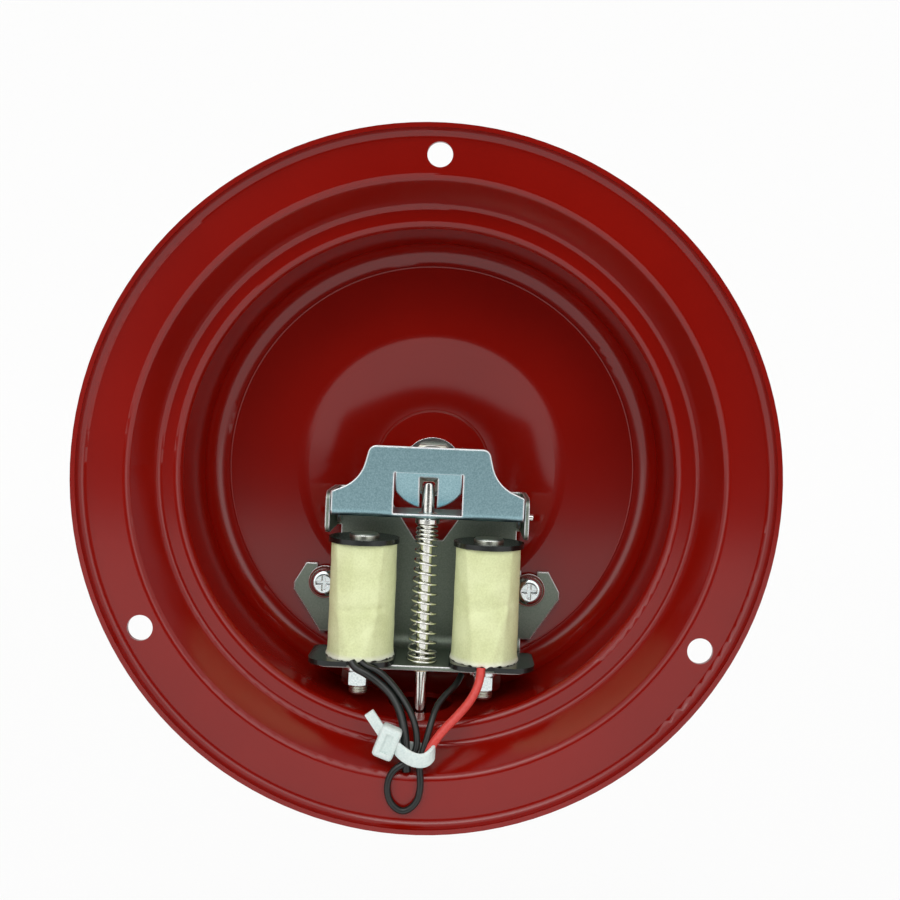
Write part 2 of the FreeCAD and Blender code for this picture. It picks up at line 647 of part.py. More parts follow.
def coil(side, sign):
    """One coil. Its outer side is to the left for the left coil."""
    offset = sign + "coil_offset"
    seat = "(frame_foot + frame_gauge)"
    core = turned(side + "_core", (
        ("0", "stud_foot"), ("stud / 2", "stud_foot"), ("stud / 2", seat),
        ("pole_radius", seat), ("pole_radius", "pole_top"), ("0", "pole_top")), offset)
    round_off(core, side + "_pole_edge", "pole_edge", [("pole_radius", "0", "pole_top")],
              "Chamfer")
    round_off(core, side + "_stud_edge", "stud_edge", [("stud / 2", "0", "stud_foot")],
              "Chamfer")

    bore = "pole_radius + bore_gap"
    tube = bore + " + tube_wall"
    bobbin = turned(side + "_bobbin", (
        (bore, seat), (tube, seat), (tube, "bobbin_top - cheek"),
        ("cheek_radius", "bobbin_top - cheek"), ("cheek_radius", "bobbin_top"),
        (bore, "bobbin_top")), offset)
    lower = new_sketch(bobbin, side + "_cheek_outline", "XY_Plane", seat)
    inner = "%s(0 - cheek_radius)" % sign
    outer = "%s(cheek_reach)" % sign
    rectangle(lower, inner, "0 - cheek_radius", outer, "cheek_radius")
    circle(lower, "0", "0", bore)
    pad(bobbin, lower, side + "_cheek", "cheek")
    middle = seat + " + cheek / 2"
    round_off(bobbin, side + "_cheek_front", "cheek_corner",
              [(x, "cheek_radius", middle) for x in (inner, outer)])
    round_off(bobbin, side + "_cheek_rear", "cheek_rear_corner",
              [(x, "0 - cheek_radius", middle) for x in (inner, outer)])
    notch = new_sketch(bobbin, side + "_lead_notch", "XY_Plane", seat + " + cheek")
    rectangle(notch, "0 - lead_notch_half", "cheek_radius - lead_notch_depth",
              "lead_notch_half", "cheek_radius + cheek")
    pocket(bobbin, notch, side + "_lead_notched", "cheek")

    inside_top = "bobbin_top - cheek"
    inside_foot = seat + " + cheek"
    turned(side + "_winding", (
        (tube, inside_foot), ("winding_radius", inside_foot),
        ("winding_radius", inside_top), (tube, inside_top)), offset)
    turned(side + "_wrap", (
        ("winding_radius", inside_foot), ("wrap_flare", inside_foot),
        ("wrap_radius", inside_foot + " + wrap_flare_height"), ("wrap_radius", inside_top),
        ("winding_radius", inside_top)), offset)

    washer = new_body(side + "_lock_washer")
    disc = new_sketch(washer, side + "_lock_disc", "XY_Plane")
    circle(disc, "0", "0", "lock_washer_radius")
    circle(disc, "0", "0", "stud / 2 + bore_gap")
    pad(washer, disc, side + "_lock_body", "lock_washer_gauge")
    slit = new_sketch(washer, side + "_lock_slit", "XY_Plane", "lock_washer_gauge")
    rectangle(slit, "0 - lock_slit / 2", "0", "lock_slit / 2", "lock_washer_radius + lock_slit")
    pocket(washer, slit, side + "_lock_slit_cut", "lock_washer_gauge")
    place(washer, offset, "axis_depth", "frame_foot - lock_washer_gauge")

    nut = new_body(side + "_core_nut")
    flats = new_sketch(nut, side + "_nut_hexagon", "XY_Plane")
    hexagon(flats, "stud_nut_flats")
    pad(nut, flats, side + "_nut_form", "stud_nut_height")
    trim_hexagon(nut, side + "_nut", "stud_nut_flats", "XZ_Plane", ("stud_nut_height",), ("0",))
    thread = new_sketch(nut, side + "_nut_bore", "XY_Plane")
    circle(thread, "0", "0", "stud / 2 + thread_gap")
    pocket(nut, thread, side + "_nut_bored")
    place(nut, offset, "axis_depth", "frame_foot - lock_washer_gauge - stud_nut_height")
    return washer, nut


def armature():
    body = new_body("armature")
    half = "(frame_half - frame_gauge - free_gap)"
    shelf_top = "(armature_foot + armature_gauge)"
    face = new_sketch(body, "face_outline", "XZ_Plane", "armature_depth")
    outline(face, symmetric((
        ("crown_half", "crown_top"), ("shoulder_half", "shoulder_level"),
        (half, "armature_side_top"), (half, "armature_foot"))[::-1]))
    pad(body, face, "face", "armature_gauge")
    middle = "0 - armature_depth - armature_gauge / 2"
    round_off(body, "crown_corners", "crown_corner",
              [(x, middle, "crown_top") for x in ("crown_half", "0 - crown_half")])
    round_off(body, "hollow_shoulders", "shoulder_hollow",
              [(x, middle, "shoulder_level") for x in ("shoulder_half", "0 - shoulder_half")])
    shelf = new_sketch(body, "shelf_outline", "XY_Plane", "armature_foot")
    rectangle(shelf, "0 - " + half, "0 - shelf_depth", half, "0 - armature_depth")
    pad(body, shelf, "shelf", "armature_gauge")
    round_off(body, "inner_bend", "armature_bend - armature_gauge",
              [("0", "0 - armature_depth - armature_gauge", shelf_top)])
    round_off(body, "outer_bend", "armature_bend", [("0", "0 - armature_depth", "armature_foot")])

    opening = new_sketch(body, "opening_outline", "XZ_Plane", "armature_depth")
    rectangle(opening, "0 - opening_half", shelf_top, "opening_half", "opening_top")
    pocket(body, opening, "opening", "armature_bend", backward=True)

    for side, sign, outward in (("left", "", True), ("right", "0 - ", False)):
        lug = new_sketch(body, side + "_lug_outline", "YZ_Plane", sign + half)
        rectangle(lug, "0 - (floor_depth - frame_gauge - free_gap)", "armature_foot",
                  "0 - lug_front_depth", "lug_top")
        pad(body, lug, side + "_lug", "armature_gauge", backward=outward)
        eye = new_sketch(body, side + "_eye_outline", "YZ_Plane", sign + half)
        circle(eye, "0 - pin_depth", "pin_level", "lug_radius")
        pad(body, eye, side + "_eye", "armature_gauge", backward=outward)
    bores = new_sketch(body, "eye_bores", "YZ_Plane")
    circle(bores, "0 - pin_depth", "pin_level", "pin / 2 + running_gap")
    pocket(body, bores, "eyes_bored")
    hole = new_sketch(body, "rod_hole", "XY_Plane", shelf_top)
    circle(hole, "0", "0 - axis_depth", "shelf_hole / 2")
    pocket(body, hole, "rod_hole_cut", "armature_gauge")

    tongue = new_sketch(body, "tongue_outline", "XZ_Plane", "armature_depth")
    outline(tongue, (
        ("0 - tongue_half", "0"), ("0 - tongue_half", "0 - tongue_side"),
        ("tongue_half", "0 - tongue_side", "tongue_round", 1), ("tongue_half", "0")))
    lean(tongue)
    pad(body, tongue, "tongue", "armature_gauge")
    fork = new_sketch(body, "fork_outline", "XZ_Plane", "armature_depth")
    rectangle(fork, "0 - fork_slot / 2", "0 - tongue_side - tongue_round",
              "fork_slot / 2", "0 - fork_root")
    lean(fork)
    pocket(body, fork, "fork", "armature_gauge", backward=True)
    place(body)
    return body


def lean(sketch):
    """Lean a sketch back about the top edge of the armature's opening."""
    sketch.AttachmentOffset = FreeCAD.Placement(
        sketch.AttachmentOffset.Base, FreeCAD.Rotation(FreeCAD.Vector(1, 0, 0), -1))
    bind(sketch, "AttachmentOffset.Base.y", "opening_top")
    bind(sketch, "AttachmentOffset.Rotation.Angle", "0 - tongue_tilt")


def rod_pieces():
    pin = new_body("armature_pin")
    end = new_sketch(pin, "pin_circle", "YZ_Plane")
    circle(end, "0", "0", "pin / 2")
    pad(pin, end, "pin_form", "2 * pin_half", middle=True)
    place(pin, depth="pin_depth", z="pin_level")

    rod = turned("striker_rod", (
        ("0", "rod_tip"), ("rod / 2", "rod_tip"), ("rod / 2", "rod_top"), ("0", "rod_top")))
    round_off(rod, "rod_ends", "rod_round",
              [("rod / 2", "0", "rod_tip"), ("rod / 2", "0", "rod_top")])
    clip_top = "armature_foot - free_gap"
    turned("striker_clip", (
        ("rod / 2", "%s - clip_gauge" % clip_top), ("clip_radius", "%s - clip_gauge" % clip_top),
        ("clip_radius", clip_top), ("rod / 2", clip_top)))
    seat = "frame_foot + frame_gauge"
    bore = "rod / 2 + running_gap"
    turned("rod_bush", (
        (bore, "frame_foot - bush_collar"), ("bush_collar_radius", "frame_foot - bush_collar"),
        ("bush_collar_radius", "frame_foot"), ("bush_radius", "frame_foot"),
        ("bush_radius", seat + " + bush_rise"), (bore, seat + " + bush_rise")))


def bend_through(start, tangent, end):
    """An arc that leaves start along a tangent and ends at end."""
    chord = end - start
    along = FreeCAD.Vector(chord).normalize()
    aside = tangent - along * tangent.dot(along)
    if aside.Length < Part.Precision.confusion():
        return Part.LineSegment(start, end).toShape()
    turn = tangent.getAngle(chord)
    middle = (start + end) / 2 + aside.normalize() * chord.Length / 2 * math.tan(turn / 2)
    return Part.Arc(start, middle, end).toShape()


def biarc(start, tangent, end, end_tangent):
    """Two arcs that leave and reach the points along their tangents."""
    chord = end - start
    both = tangent + end_tangent
    spread = 2 * (1 - tangent.dot(end_tangent))
    reach = (math.sqrt(chord.dot(both) ** 2 + spread * chord.dot(chord)) - chord.dot(both)) / spread
    joint = (start + end + (tangent - end_tangent) * reach) / 2
    leave = (joint - (start + tangent * reach)).normalize()
    return bend_through(start, tangent, joint), bend_through(joint, leave, end)


def least_gap(points, wire):
    """The least air between parts of a winding that lie half a turn or more apart."""
    gap = min(points[first].distanceToPoint(points[second])
              for first in range(len(points))
              for second in range(first + POINTS_PER_TURN // 2, len(points)))
    return gap - wire


def return_spring():
    """A spring that widens downward, with closed end turns, as one tube."""
    wire = size("spring_wire")
    top = size("armature_foot - free_gap - clip_gauge - spring_wire / 2")
    foot = size("frame_foot + frame_gauge + spring_wire / 2")
    closed = size("closed_pitch")
    turns = sum(TURN_COUNTS)
    open_pitch = (top - foot - closed * (TURN_COUNTS[0] + TURN_COUNTS[2])) / TURN_COUNTS[1]
    pitches = (closed, open_pitch, closed)

    def spot(turn):
        left = turn
        level = top
        for count, pitch in zip(TURN_COUNTS, pitches):
            part = min(left, count)
            level -= part * pitch
            left -= part
        share = turn / turns
        radius = (size("spring_top_radius") * (1 - share)
                  + size("spring_foot_radius") * share - wire / 2)
        angle = 2 * math.pi * turn
        return FreeCAD.Vector(radius * math.cos(angle), radius * math.sin(angle), level)

    def heading(turn):
        reach = 1 / (2 * STEPS_PER_TURN)
        return (spot(min(turn + reach, turns)) - spot(max(turn - reach, 0))).normalize()

    steps = int(turns * STEPS_PER_TURN)
    arcs = []
    for step in range(steps):
        here, there = step / STEPS_PER_TURN, (step + 1) / STEPS_PER_TURN
        here_heading = heading(here)
        there_heading = heading(there)
        if step == 0:
            here_heading = end_heading(spot(here), there_heading, spot(there))
        if step == steps - 1:
            there_heading = end_heading(spot(there), here_heading * -1, spot(here)) * -1
        arcs += biarc(spot(here), here_heading, spot(there), there_heading)
    tube = sweep(arcs, wire)
    points = [spot(step / POINTS_PER_TURN) for step in range(int(turns * POINTS_PER_TURN) + 1)]
    print("return_spring least gap to itself %.2f mm" % least_gap(points, wire))
    feature = doc.addObject("Part::Feature", "return_spring")
    feature.Shape = tube
    feature.Label = "return_spring"
    place(feature, depth="axis_depth")


def end_heading(end, heading, next_spot):
    """The tangent at an end, mirrored from the tangent at the next point."""
    chord = (next_spot - end).normalize()
    return (chord * 2 * chord.dot(heading) - heading).normalize()


def sweep(arcs, diameter):
    """One solid tube along joined edges."""
    path = Part.Wire(arcs)
    start = arcs[0]
    first = start.firstVertex().Point if start.Orientation == "Forward" else start.lastVertex().Point
    tangent = start.tangentAt(start.FirstParameter)
    profile = Part.Wire(Part.makeCircle(diameter / 2, first, tangent))
    return path.makePipeShell([profile], True, False)


def cord(label, diameter, route):
    """A lead along straight runs joined by tangent arcs, as large as the runs allow."""
    rim = size("flange_depth")
    points = [FreeCAD.Vector(x, rim - depth, z) for x, z, depth in route]
    wire = size(diameter)
    edges = []
    radii = []
    start = points[0]
    for before, corner, after in zip(points, points[1:], points[2:]):
        into, out = corner - before, after - corner
        reach = ARC_SHARE * min(into.Length, out.Length)
        turn = into.getAngle(out)
        radii.append(reach / math.tan(turn / 2))
        enter = corner - FreeCAD.Vector(into).normalize() * reach
        leave = corner + FreeCAD.Vector(out).normalize() * reach
        edges.append(Part.LineSegment(start, enter).toShape())
        edges.append(bend_through(enter, FreeCAD.Vector(into).normalize(), leave))
        start = leave
    edges.append(Part.LineSegment(start, points[-1]).toShape())
    tube = sweep(edges, wire)
    length = sum(edge.Length for edge in edges)
    print("%s length %.1f mm, volume share %.4f, radii in diameters %s" % (
        label, length, tube.Volume / (math.pi * wire ** 2 / 4 * length),
        " ".join("%.1f" % (radius / wire) for radius in radii)))
    feature = doc.addObject("Part::Feature", label)
    feature.Shape = tube
    feature.Label = label


# Routes as (x, z, depth): from the foot of a coil through the cable tie
BLACK_ROUTE = (
    (15.7, -49.8, 13.1), (15.3, -54.5, 12.4), (11.9, -57.4, 11.2), (7.3, -59.3, 9.6),
    (3.2, -62.4, 7.4), (1.1, -66.9, 4.9), (0.9, -71.5, 3.3))
LINK_ROUTE = (
    (17.6, -49.8, 13.0), (17.3, -55.4, 11.8), (11.9, -59.6, 9.6), (6.6, -62.6, 7.4),
    (3.1, -66.5, 5.1), (2.6, -71.5, 3.3), (3.8, -75.8, 1.5), (6.1, -78.8, 1.3),
    (6.5, -82.2, 1.4), (4.2, -84.8, 1.3), (0.6, -84.9, 1.4), (-1.9, -82.4, 1.3),
    (-2.1, -78.4, 1.3), (-1.3, -74.7, 1.9), (-1.1, -70.8, 3.4), (-2.9, -66.4, 5.4),
    (-5.1, -62.0, 8.6), (-8.4, -58.6, 12.6), (-10.3, -56.1, 16.6), (-10.6, -52.8, 18.6))
RED_ROUTE = (
    (-16.8, -49.8, 13.1), (-16.4, -55.0, 11.7), (-12.2, -59.8, 9.0), (-8.0, -64.2, 6.3),
    (-4.6, -68.2, 4.4), (-3.3, -71.7, 3.2), (-3.3, -74.1, 2.4))


def cable_tie():
    """A strap round the leads, with its locking head on the left and its cut tail."""
    body = new_body("cable_tie")
    foot = "0 - tie_width / 2"
    outer_x, outer_y = "(tie_half_length + tie_gauge)", "(tie_half_depth + tie_gauge)"
    loop = new_sketch(body, "strap_outline", "XY_Plane", foot)
    rectangle(loop, "0 - " + outer_x, "0 - " + outer_y, outer_x, outer_y)
    pad(body, loop, "strap", "tie_width")
    round_off(body, "strap_round", outer_y + " * tie_round_share",
              [(sign_x + outer_x, sign_y + outer_y, "0")
               for sign_x in ("", "0 - ") for sign_y in ("", "0 - ")])
    room = new_sketch(body, "bundle_room", "XY_Plane")
    rectangle(room, "0 - tie_half_length", "0 - tie_half_depth",
              "tie_half_length", "tie_half_depth")
    pocket(body, room, "bundle_room_cut")
    round_off(body, "bundle_room_round", "tie_half_depth * tie_round_share",
              [(sign_x + "tie_half_length", sign_y + "tie_half_depth", "0")
               for sign_x in ("", "0 - ") for sign_y in ("", "0 - ")])

    head = new_sketch(body, "head_outline", "XY_Plane", "0 - tie_head_width / 2")
    rectangle(head, "tie_half_length + tie_gauge / 2", "0 - tie_head_depth / 2",
              "tie_half_length + tie_gauge / 2 + tie_head_length", "tie_head_depth / 2")
    pad(body, head, "head", "tie_head_width")
    end = "tie_half_length + tie_gauge / 2 + tie_head_length"
    round_off(body, "head_round", "tie_head_corner",
              [(end, sign + "tie_head_depth / 2", "0") for sign in ("", "0 - ")]
              + [(end, "0", sign + "tie_head_width / 2") for sign in ("", "0 - ")])

    tail = new_sketch(body, "tail_outline", "XZ_Plane", "0 - tie_gauge / 2")
    start = "tie_half_length + tie_gauge / 2 + tie_head_length / 2"
    along = "(tie_head_length / 2 + tie_tail_length)"
    across = "tie_width / 2"
    corners = []
    for reach, sign in (("0", "-"), (along, "-"), (along, "+"), ("0", "+")):
        flip = "+" if sign == "-" else "-"
        corners.append((
            "%s + %s * cos(tie_tail_turn) %s %s * sin(tie_tail_turn)" % (start, reach, flip, across),
            "%s * sin(tie_tail_turn) %s %s * cos(tie_tail_turn)" % (reach, sign, across)))
    outline(tail, corners)
    pad(body, tail, "tail", "tie_gauge")
    turn = FreeCAD.Rotation(FreeCAD.Vector(0, 1, 0), -size("tie_turn"))
    lean = FreeCAD.Rotation(FreeCAD.Vector(1, 0, 0), size("tie_lean"))
    body.Placement = FreeCAD.Placement(FreeCAD.Vector(), turn.multiply(lean))
    place(body, "tie_offset", "tie_depth", "tie_level")


dish()
gong()
gong_fixings()
frame()
frame_fixings()
washers, nuts = zip(coil("left", ""), coil("right", "0 - "))
group("core_lock_washers", washers)
group("core_nuts", nuts)
armature()
rod_pieces()
return_spring()
cord("black_lead", "supply_lead", BLACK_ROUTE)
cord("link_lead", "link_wire", LINK_ROUTE)
cord("red_lead", "red_wire", RED_ROUTE)
cable_tie()
doc.recompute()

grouped = {member.Name for thing in doc.findObjects("Part::Compound") for member in thing.Links}
sub_parts = [thing for kind in ("PartDesign::Body", "Part::Compound")
             for thing in doc.findObjects(kind) if thing.Name not in grouped]
sub_parts += [thing for thing in doc.Objects if thing.TypeId == "Part::Feature"]
failed = [thing.Label for thing in doc.Objects
          if "Invalid" in thing.State or "Error" in thing.State]
failed += [thing.Label for thing in sub_parts
           if thing.Shape.isNull() or not thing.Shape.isValid() or thing.Shape.Volume <= 0]
if failed:
    raise RuntimeError("failed: " + ", ".join(failed))

os.makedirs("parts", exist_ok=True)
for thing in sub_parts:
    thing.Shape.exportStep("parts/%s.step" % thing.Label)
print(len(sub_parts), "sub-parts,", sum(len(thing.Shape.Solids) for thing in sub_parts), "solids")
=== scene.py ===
# %% [markdown]
# # An electric alarm bell, seen into its open back
#
# The frame is the engineered model: a red enamelled dish, a gong bolted to its front, and in the
# dish a sheet-metal frame with two coils, an armature and a striker rod. It is loaded first and
# never changed. Everything below either gives a loaded piece its finish or makes a softer piece,
# such as paper tape or a lead, that stands in the place of a plain solid.

# %% Load the frame
import math

import bpy
from mathutils import Matrix, Vector, noise


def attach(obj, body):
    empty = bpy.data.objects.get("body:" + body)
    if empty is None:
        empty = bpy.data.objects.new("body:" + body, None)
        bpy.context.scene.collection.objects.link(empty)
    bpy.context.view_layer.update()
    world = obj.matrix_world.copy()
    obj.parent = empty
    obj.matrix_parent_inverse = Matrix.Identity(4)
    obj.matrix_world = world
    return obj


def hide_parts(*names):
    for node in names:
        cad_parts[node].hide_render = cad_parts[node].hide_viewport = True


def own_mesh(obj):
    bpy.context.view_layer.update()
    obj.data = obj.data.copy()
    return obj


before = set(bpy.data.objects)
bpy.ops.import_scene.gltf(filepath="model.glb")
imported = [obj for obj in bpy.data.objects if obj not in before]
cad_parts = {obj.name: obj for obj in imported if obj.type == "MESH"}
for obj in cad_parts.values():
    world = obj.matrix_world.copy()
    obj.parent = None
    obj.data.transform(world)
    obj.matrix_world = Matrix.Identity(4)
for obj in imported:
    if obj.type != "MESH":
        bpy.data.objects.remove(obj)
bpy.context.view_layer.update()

print("frame loaded,", len(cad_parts), "nodes")

# %% [markdown]
# ## Units and the way depths are counted
#
# Blender works in metres here. The bell is easier to think of in millimetres, and a place inside
# the dish is easier to give by its depth behind the wall than by its y. One function turns such
# a place into a point. X runs to the left of the open back and Z runs up.

# %% Places in millimetres
MM = 0.001
FLANGE_DEPTH = 2.5
AXIS_DEPTH = 22.5
COIL_OFFSET = 16.8


def place(x, depth, z):
    """The point at x and z, at a depth from the wall, all in millimetres."""
    return Vector((x, FLANGE_DEPTH - depth, z)) * MM


# %% [markdown]
# ## The camera
#
# The photograph looks straight into the dish from close by, so its rings don't share one centre:
# deeper rings move towards the point where the camera stands. The camera here stands at that
# point, looks square at the wall plane and is rolled by the small angle at which the bell hung.
# A little lens shift puts the bell where it lies in the picture.

# %% Camera
CAMERA_DISTANCE = 280
CAMERA_RIGHT = 10.8
CAMERA_UP = 21.1
CAMERA_ROLL = math.radians(2.4)
LENS_MM = 44.9
PICTURE = 900
AXIS_PIXEL = (469.6, 394.0)

side = CAMERA_RIGHT * math.cos(CAMERA_ROLL) - CAMERA_UP * math.sin(CAMERA_ROLL)
rise = CAMERA_RIGHT * math.sin(CAMERA_ROLL) + CAMERA_UP * math.cos(CAMERA_ROLL)
camera_data = bpy.data.cameras.new("camera")
camera = bpy.data.objects.new("camera", camera_data)
bpy.context.scene.collection.objects.link(camera)
camera.matrix_world = (Matrix.Translation(place(-side, -CAMERA_DISTANCE, rise))
                       @ Matrix.Rotation(math.pi, 4, "Z")
                       @ Matrix.Rotation(math.pi / 2, 4, "X")
                       @ Matrix.Rotation(CAMERA_ROLL, 4, "Z"))
camera_data.lens = LENS_MM
camera_data.sensor_width = 36
camera_data.clip_start = 0.01
camera_data.shift_x = 0.5 - AXIS_PIXEL[0] / PICTURE
camera_data.shift_y = AXIS_PIXEL[1] / PICTURE - 0.5
bpy.context.scene.camera = camera
bpy.context.scene.view_settings.view_transform = "Standard"
print("camera at", [round(value, 4) for value in camera.location])

# %% [markdown]
# ## Colours and nodes
#
# Colours are noted as they look on a screen, as hex values. Shaders work in linear light, so one
# function converts them. A second small function adds a node, sets its sockets and links it,
# which keeps each finish below short enough to read.

# %% Colours and nodes


def linear(code):
    """A hex colour as it looks on a screen, in linear light."""
    parts = [int(code[index:index + 2], 16) / 255 for index in (1, 3, 5)]
    return [part / 12.92 if part <= 0.04045 else ((part + 0.055) / 1.055) ** 2.4
            for part in parts] + [1]


def add(tree, kind, inputs=(), stops=(), **settings):
    """Add a node. An input is a value, a socket to link from, or a node for its first output.

    Stops are the (position, colour) pairs of a colour ramp.
    """
    node = tree.nodes.new(kind)
    for name, value in settings.items():
        setattr(node, name, value)
    for name, value in dict(inputs).items():
        if isinstance(value, bpy.types.Node):
            value = value.outputs[0]
        if isinstance(value, bpy.types.NodeSocket):
            tree.links.new(value, node.inputs[name])
        else:
            node.inputs[name].default_value = value
    if stops:
        points = node.color_ramp.elements
        while len(points) < len(stops):
            points.new(1)
        for point, (position, colour) in zip(points, stops):
            point.position = position
            point.color = linear(colour)
    return node


# %% Finishes and pieces


def new_finish(name):
    """An empty material with its shader and its Object coordinates."""
    material = bpy.data.materials.new(name)
    material.use_nodes = True
    tree = material.node_tree
    shader = tree.nodes["Principled BSDF"]
    where = add(tree, "ShaderNodeTexCoord").outputs["Object"]
    return material, tree, shader, where


def patches(where, size, detail=2):
    """The inputs of a noise node whose patches are about so many millimetres across."""
    return {"Vector": where, "Scale": 1 / (size * MM), "Detail": detail}


def wear(node_names, material):
    """Give loaded pieces a finish."""
    for name in node_names:
        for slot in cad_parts[name].material_slots:
            slot.material = material
    print(material.name, "on", ", ".join(node_names))


def settle(piece, node, body="bell"):
    """A new piece stands for a loaded one, which is hidden, and rides on its body."""
    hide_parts(node)
    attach(piece, body)


def cut_uprights(piece, cuts):
    """Cut the upright edges of a cylinder, so that its wall has rows of vertices to shape."""
    bpy.ops.object.mode_set(mode="EDIT")
    bpy.ops.mesh.select_mode(type="EDGE")
    bpy.ops.mesh.select_all(action="DESELECT")
    bpy.ops.object.mode_set(mode="OBJECT")
    spots = piece.data.vertices
    for edge in piece.data.edges:
        first, second = edge.vertices
        edge.select = abs(spots[first].co.z - spots[second].co.z) > MM
    bpy.ops.object.mode_set(mode="EDIT")
    bpy.ops.mesh.subdivide(number_cuts=cuts)
    bpy.ops.object.mode_set(mode="OBJECT")


# %% [markdown]
# ## The leads
#
# Two black leads leave the left coil and swing down to the cable tie, where the thinner one turns
# back in a loop and climbs to the right coil. A red lead comes down from the right coil. Each is
# a NURBS curve with a round bevel. Its control points are the same kind of route that the
# engineered tube has, moved a little to where the photograph shows the lead. A curve of order 3
# cuts inside its control points, which gives the relaxed bends of soft sleeving.

# %% Routes of the leads, as x, z and depth
BLACK_ROUTE = (
    (18.0, -49.6, 13.4), (17.2, -50.9, 12.6), (14.2, -51.9, 11.6), (10.4, -54.1, 10.9),
    (6.6, -57.0, 9.3), (4.2, -60.9, 7.2), (2.9, -65.1, 5.0), (2.4, -69.2, 3.6),
    (2.2, -72.0, 3.2), (2.0, -74.2, 3.1))
LINK_ROUTE = (
    (15.4, -49.6, 13.4), (14.2, -50.5, 12.6), (10.8, -51.2, 11.7), (7.2, -54.0, 10.6),
    (3.8, -57.6, 8.8), (1.0, -61.6, 6.6), (-0.3, -65.7, 4.8), (-0.2, -69.5, 3.6),
    (2.6, -72.2, 2.9), (5.6, -73.8, 2.1), (6.9, -77.6, 1.7), (5.9, -81.9, 1.6),
    (2.4, -84.3, 1.6), (-1.1, -81.5, 1.6), (-1.8, -77.0, 1.7), (-1.1, -72.6, 2.6),
    (-1.9, -69.1, 3.7),
    (-2.9, -65.5, 4.8), (-3.8, -61.8, 6.6), (-5.0, -58.7, 9.2), (-7.4, -56.4, 12.2),
    (-9.8, -54.9, 15.2), (-10.8, -52.9, 17.6))
RED_ROUTE = (
    (-15.9, -49.9, 13.2), (-15.8, -53.0, 12.2), (-13.8, -57.2, 9.8), (-10.3, -60.9, 7.3),
    (-7.0, -63.9, 5.4), (-4.7, -66.7, 4.2), (-3.0, -69.6, 3.6), (-2.4, -71.4, 3.3))
print("routes of", len(BLACK_ROUTE), len(LINK_ROUTE), "and", len(RED_ROUTE), "points")

# %% Leads


def lead(name, diameter, route):
    """A round lead along a smooth curve."""
    line = bpy.data.curves.new(name, "CURVE")
    line.dimensions = "3D"
    # The thickness comes from the points, so that the curve's own bounds are right
    line.bevel_depth = 1
    line.bevel_resolution = 5
    line.resolution_u = 10
    line.use_fill_caps = True
    spline = line.splines.new("NURBS")
    spline.points.add(len(route) - 1)
    for point, (x, z, depth) in zip(spline.points, route):
        point.co = (*place(x, depth, z), 1)
        point.radius = diameter / 2 * MM
    spline.order_u = 3
    spline.use_endpoint_u = True
    piece = bpy.data.objects.new(name, line)
    bpy.context.scene.collection.objects.link(piece)
    print(name, "%.1f mm thick," % diameter, len(route), "control points")
    return piece


black_lead = lead("supply_lead_black", 2.2, BLACK_ROUTE)
link_lead = lead("link_lead_black", 1.7, LINK_ROUTE)
red_lead = lead("supply_lead_red", 2.3, RED_ROUTE)
settle(black_lead, "black_lead")
settle(link_lead, "link_lead")
settle(red_lead, "red_lead")

# %% [markdown]
# ## The stage
#
# A plain pale floor turns up into a backdrop. The camera sees it as white, as in the picture, and
# a little of its own shading stays, so that the bell's soft shadow can be seen from other sides.

# %% Floor and backdrop
FLOOR_LEVEL = -200
STAGE_HALF = 1500
STAGE_BEND = 300
STAGE_BEND_SEGMENTS = 12
bpy.ops.object.select_all(action="DESELECT")
bpy.ops.mesh.primitive_plane_add(size=2 * STAGE_HALF * MM, location=place(0, 0, FLOOR_LEVEL))
floor = bpy.context.object
floor.name = "floor"
bpy.ops.object.mode_set(mode="EDIT")
bpy.ops.mesh.select_mode(type="EDGE")
bpy.ops.mesh.select_all(action="DESELECT")
bpy.ops.object.mode_set(mode="OBJECT")
for edge in floor.data.edges:
    ends = [floor.data.vertices[index].co.y for index in edge.vertices]
    edge.select = max(ends) < 0
bpy.ops.object.mode_set(mode="EDIT")
bpy.ops.mesh.extrude_region_move(TRANSFORM_OT_translate={"value": (0, 0, 2 * STAGE_HALF * MM)})
bpy.ops.mesh.select_all(action="SELECT")
bpy.ops.mesh.bevel(offset=STAGE_BEND * MM, segments=STAGE_BEND_SEGMENTS, affect="EDGES")
bpy.ops.object.mode_set(mode="OBJECT")
bpy.ops.object.shade_smooth()
print("floor at", FLOOR_LEVEL, "mm")

# %% Paper of the stage
# Matt white paper, which scatters light evenly. What the camera sees of it is mostly its own glow.
GLOW_SHARE = 0.9
material, tree, shader, where = new_finish("studio_paper")
shader.inputs["Base Color"].default_value = linear("#F2F2F0")
shader.inputs["Roughness"].default_value = 0.9
path = add(tree, "ShaderNodeLightPath")
seen = add(tree, "ShaderNodeMath", {0: path.outputs["Is Camera Ray"],
                                    1: path.outputs["Is Glossy Ray"]}, operation="MAXIMUM")
seen = add(tree, "ShaderNodeMath", {0: seen,
                                    1: path.outputs["Is Transmission Ray"]}, operation="MAXIMUM")
seen = add(tree, "ShaderNodeMath", {0: seen, 1: GLOW_SHARE}, operation="MULTIPLY")
glow = add(tree, "ShaderNodeEmission", {"Color": (1, 1, 1, 1), "Strength": 1.0})
paper = add(tree, "ShaderNodeMixShader", {0: seen, 1: shader, 2: glow})
tree.links.new(paper.outputs[0], tree.nodes["Material Output"].inputs["Surface"])
floor.data.materials.append(material)
print(material.name, "on", floor.name)

# %% [markdown]
# ## The light
#
# The bell hangs in a soft studio: a pale ring of light stands round the place of the camera, and
# the place itself is dark. Gloss enamel shows that at once. What faces the camera stays deep red,
# and each bend catches a pale line. The ring is part of the world, so it is even and far away. A
# large soft box above the camera adds a gentle shadow below each piece.

